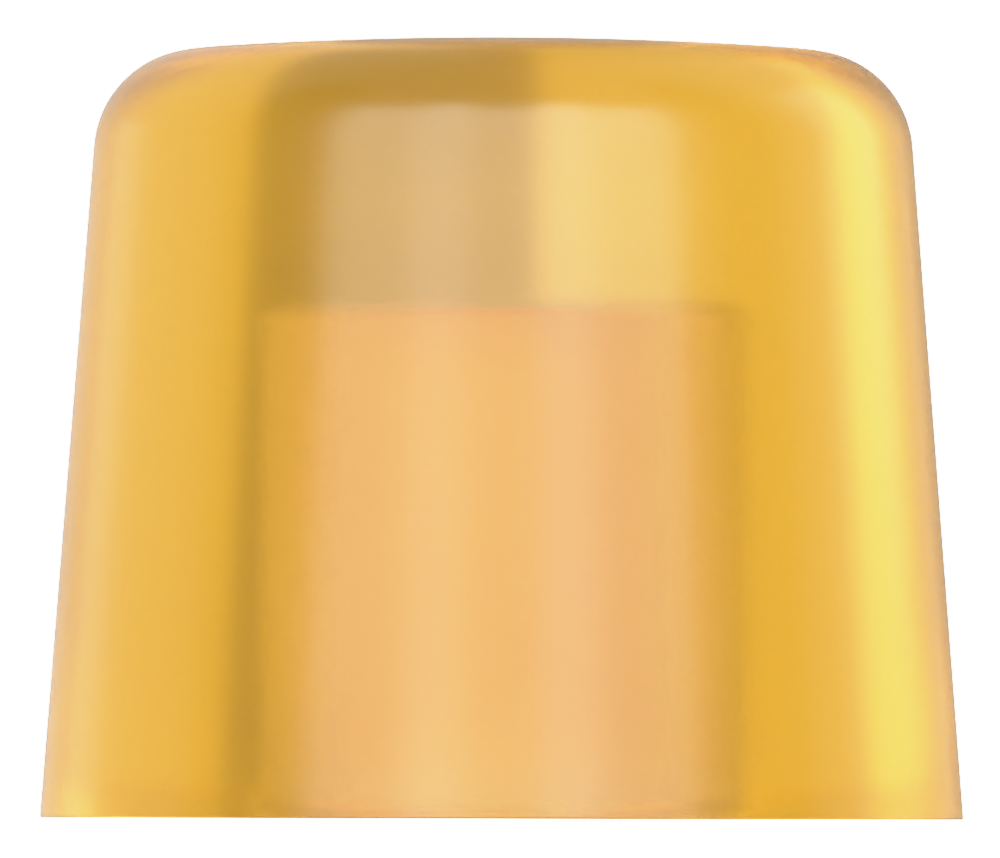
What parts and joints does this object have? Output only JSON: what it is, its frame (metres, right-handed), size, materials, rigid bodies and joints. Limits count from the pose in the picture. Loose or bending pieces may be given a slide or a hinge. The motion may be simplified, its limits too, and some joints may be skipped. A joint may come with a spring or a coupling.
{
  "type": "mallet striking face",
  "caption": "Tapered round striking face for a soft-face mallet: crowned face with a rounded rim, flat seat with a blind round socket for the head's peg.",
  "frame": {"origin": "centre of the flat ring that seats against the mallet's head, on the part's axis", "axes": "+Z along the axis of revolution, from the seat towards the striking face; X and Y are equivalent"},
  "size_m": [0.032, 0.032, 0.027],
  "materials": {
    "amber_plastic": "translucent amber moulded plastic, satin outside, matt inside the socket"
  },
  "bodies": {
    "root": {"striking_face": "amber_plastic"}
  },
  "joints": []
}
